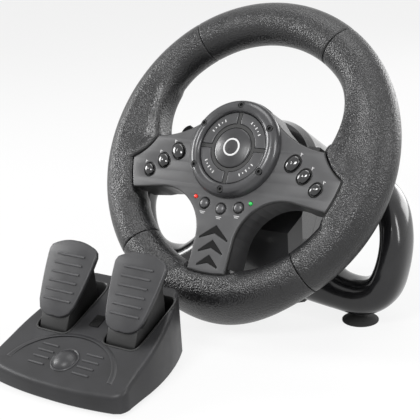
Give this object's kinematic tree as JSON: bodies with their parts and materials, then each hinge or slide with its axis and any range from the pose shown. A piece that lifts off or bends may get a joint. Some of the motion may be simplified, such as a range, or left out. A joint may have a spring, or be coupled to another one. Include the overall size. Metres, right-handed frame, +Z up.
{
  "type": "racing wheel",
  "caption": "Desktop racing wheel with thumb grips, face buttons and paddles on a looped suction-cup base, with a separate two-pedal unit.",
  "frame": {"origin": "centre of the set's footprint, on the surface it stands on", "axes": "+Z up, +X to the driver's right, +Y away from the driver; the driver sits on the -Y side"},
  "size_m": [0.2796, 0.3368, 0.251],
  "materials": {
    "grip_leather": "fine leather grain, satin",
    "rim_plastic": "fine leather grain moulded in, satin",
    "frame_black": "moulded satin black",
    "plate_grey": "smooth satin grey lacquer",
    "bezel_dark": "glossy dark grey",
    "bolt_black": "blackened, satin",
    "button_black": "glossy black",
    "button_grey": "satin grey",
    "arc_grey": "satin grey",
    "cap_grey": "semi-gloss grey",
    "led_red": "tinted lens, glossy",
    "led_green": "tinted lens, glossy",
    "chevron_black": "glossy black inlay",
    "board_green": "solder-masked board",
    "steel": "turned steel",
    "bearing_steel": "ground steel",
    "gear_white": "natural nylon, satin",
    "motor_metal": "plated cans",
    "screw_zinc": "zinc plated",
    "paddle_black": "glossy black",
    "housing_black": "glossy black",
    "loop_black": "glossy black",
    "plate_black": "moulded matt black",
    "frame_steel": "dark grey paint",
    "sensor_blue": "moulded satin blue-grey",
    "spring_steel": "spring steel",
    "stop_rubber": "matt",
    "socket_black": "matt black",
    "cup_rubber": "soft black rubber",
    "pedal_shell_grey": "fine-grained satin dark grey",
    "pad_grey": "fine-grained satin dark grey",
    "badge_black": "glossy black",
    "foot_rubber": "matt rubber"
  },
  "bodies": {
    "base": {"housing_front_shell": "housing_black", "housing_rear_shell": "housing_black", "base_plate": "plate_black", "left_loop": "loop_black", "right_loop": "loop_black", "column_frame": "frame_steel", "shaft_bearings": "bearing_steel", "angle_sensor": "sensor_blue", "centring_spring": "spring_steel", "rubber_stops": "stop_rubber", "main_circuit_board": "board_green", "cable_sockets": "socket_black", "suction_cups": "cup_rubber", "base_screws": "screw_zinc", "pedal_base_shell": "pedal_shell_grey", "pedal_base_plate": "plate_black", "pedal_badge": "badge_black", "pedal_pins": "steel", "pedal_springs": "spring_steel", "pedal_sensors": "sensor_blue", "pedal_feet": "foot_rubber"},
    "wheel": {"wheel_frame": "frame_black", "wheel_back_cover": "frame_black", "face_plate": "plate_grey", "rim_top_cover": "rim_plastic", "left_grip": "grip_leather", "right_grip": "grip_leather", "rim_bottom_cover": "rim_plastic", "hub_bezel": "bezel_dark", "bezel_bolts": "bolt_black", "hub_divider": "frame_black", "hub_cap": "cap_grey", "red_led": "led_red", "green_led": "led_green", "chevron_inlays": "chevron_black", "wheel_circuit_board": "board_green", "steering_shaft": "steel", "shaft_bolt": "screw_zinc", "drive_gear": "gear_white", "rumble_motors": "motor_metal", "wheel_screws": "screw_zinc", "paddle_pins": "steel"},
    "hub_button_upper_right": {"hub_button_upper_right": "arc_grey"},
    "hub_button_upper_left": {"hub_button_upper_left": "arc_grey"},
    "hub_button_lower_left": {"hub_button_lower_left": "arc_grey"},
    "hub_button_lower_right": {"hub_button_lower_right": "arc_grey"},
    "left_button_inner": {"left_button_inner": "button_black"},
    "left_button_middle": {"left_button_middle": "button_black"},
    "left_button_outer": {"left_button_outer": "button_black"},
    "right_button_inner": {"right_button_inner": "button_black"},
    "right_button_middle": {"right_button_middle": "button_black"},
    "right_button_outer": {"right_button_outer": "button_black"},
    "small_button_left": {"small_button_left": "button_grey"},
    "small_button_centre": {"small_button_centre": "button_grey"},
    "small_button_right": {"small_button_right": "button_grey"},
    "left_paddle": {"left_paddle": "paddle_black"},
    "right_paddle": {"right_paddle": "paddle_black"},
    "sensor_gear": {"sensor_gear": "gear_white"},
    "left_pedal": {"left_pedal": "pad_grey"},
    "right_pedal": {"right_pedal": "pad_grey"}
  },
  "joints": [
    {"name": "wheel_turn", "type": "hinge", "parent": "base", "child": "wheel", "pos_m": [0, 0.0356, 0.14198], "axis": [0, -0.848, 0.5299], "range_deg": [-90, 90], "stiffness_Nm_per_rad": 0.8},
    {"name": "sensor_spin", "type": "hinge", "parent": "base", "child": "sensor_gear", "pos_m": [0, 0.08818, 0.07139], "axis": [0, -0.848, 0.5299], "range_deg": [-271, 271]},
    {"name": "right_paddle_pull", "type": "hinge", "parent": "wheel", "child": "right_paddle", "pos_m": [0.055, 0.06825, 0.12158], "axis": [0, -0.5299, -0.848], "range_deg": [0, 6], "stiffness_Nm_per_rad": 0.2, "springref_deg": -2.86},
    {"name": "left_paddle_pull", "type": "hinge", "parent": "wheel", "child": "left_paddle", "pos_m": [-0.055, 0.06825, 0.12158], "axis": [0, 0.5299, 0.848], "range_deg": [0, 6], "stiffness_Nm_per_rad": 0.2, "springref_deg": -2.86},
    {"name": "hub_button_upper_right_press", "type": "slide", "parent": "wheel", "child": "hub_button_upper_right", "axis": [0, 0.848, -0.5299], "range_m": [0, 0.0015], "stiffness_N_per_m": 300, "springref_m": -0.0005},
    {"name": "hub_button_upper_left_press", "type": "slide", "parent": "wheel", "child": "hub_button_upper_left", "axis": [0, 0.848, -0.5299], "range_m": [0, 0.0015], "stiffness_N_per_m": 300, "springref_m": -0.0005},
    {"name": "hub_button_lower_left_press", "type": "slide", "parent": "wheel", "child": "hub_button_lower_left", "axis": [0, 0.848, -0.5299], "range_m": [0, 0.0015], "stiffness_N_per_m": 300, "springref_m": -0.0005},
    {"name": "hub_button_lower_right_press", "type": "slide", "parent": "wheel", "child": "hub_button_lower_right", "axis": [0, 0.848, -0.5299], "range_m": [0, 0.0015], "stiffness_N_per_m": 300, "springref_m": -0.0005},
    {"name": "left_button_inner_press", "type": "slide", "parent": "wheel", "child": "left_button_inner", "axis": [0, 0.848, -0.5299], "range_m": [0, 0.0015], "stiffness_N_per_m": 300, "springref_m": -0.0005},
    {"name": "left_button_middle_press", "type": "slide", "parent": "wheel", "child": "left_button_middle", "axis": [0, 0.848, -0.5299], "range_m": [0, 0.0015], "stiffness_N_per_m": 300, "springref_m": -0.0005},
    {"name": "left_button_outer_press", "type": "slide", "parent": "wheel", "child": "left_button_outer", "axis": [0, 0.848, -0.5299], "range_m": [0, 0.0015], "stiffness_N_per_m": 300, "springref_m": -0.0005},
    {"name": "right_button_inner_press", "type": "slide", "parent": "wheel", "child": "right_button_inner", "axis": [0, 0.848, -0.5299], "range_m": [0, 0.0015], "stiffness_N_per_m": 300, "springref_m": -0.0005},
    {"name": "right_button_middle_press", "type": "slide", "parent": "wheel", "child": "right_button_middle", "axis": [0, 0.848, -0.5299], "range_m": [0, 0.0015], "stiffness_N_per_m": 300, "springref_m": -0.0005},
    {"name": "right_button_outer_press", "type": "slide", "parent": "wheel", "child": "right_button_outer", "axis": [0, 0.848, -0.5299], "range_m": [0, 0.0015], "stiffness_N_per_m": 300, "springref_m": -0.0005},
    {"name": "small_button_left_press", "type": "slide", "parent": "wheel", "child": "small_button_left", "axis": [0, 0.848, -0.5299], "range_m": [0, 0.001], "stiffness_N_per_m": 300, "springref_m": -0.0005},
    {"name": "small_button_centre_press", "type": "slide", "parent": "wheel", "child": "small_button_centre", "axis": [0, 0.848, -0.5299], "range_m": [0, 0.001], "stiffness_N_per_m": 300, "springref_m": -0.0005},
    {"name": "small_button_right_press", "type": "slide", "parent": "wheel", "child": "small_button_right", "axis": [0, 0.848, -0.5299], "range_m": [0, 0.001], "stiffness_N_per_m": 300, "springref_m": -0.0005},
    {"name": "left_pedal_press", "type": "hinge", "parent": "base", "child": "left_pedal", "pos_m": [-0.075, -0.1164, 0.02], "axis": [-1, 0, 0], "range_deg": [0, 16], "stiffness_Nm_per_rad": 1.5, "springref_deg": -5.73},
    {"name": "right_pedal_press", "type": "hinge", "parent": "base", "child": "right_pedal", "pos_m": [-0.009, -0.1164, 0.02], "axis": [-1, 0, 0], "range_deg": [0, 16], "stiffness_Nm_per_rad": 1.5, "springref_deg": -5.73}
  ],
  "couplings": [
    {"joint": "sensor_spin", "follows": "wheel_turn", "ratio": -3}
  ]
}
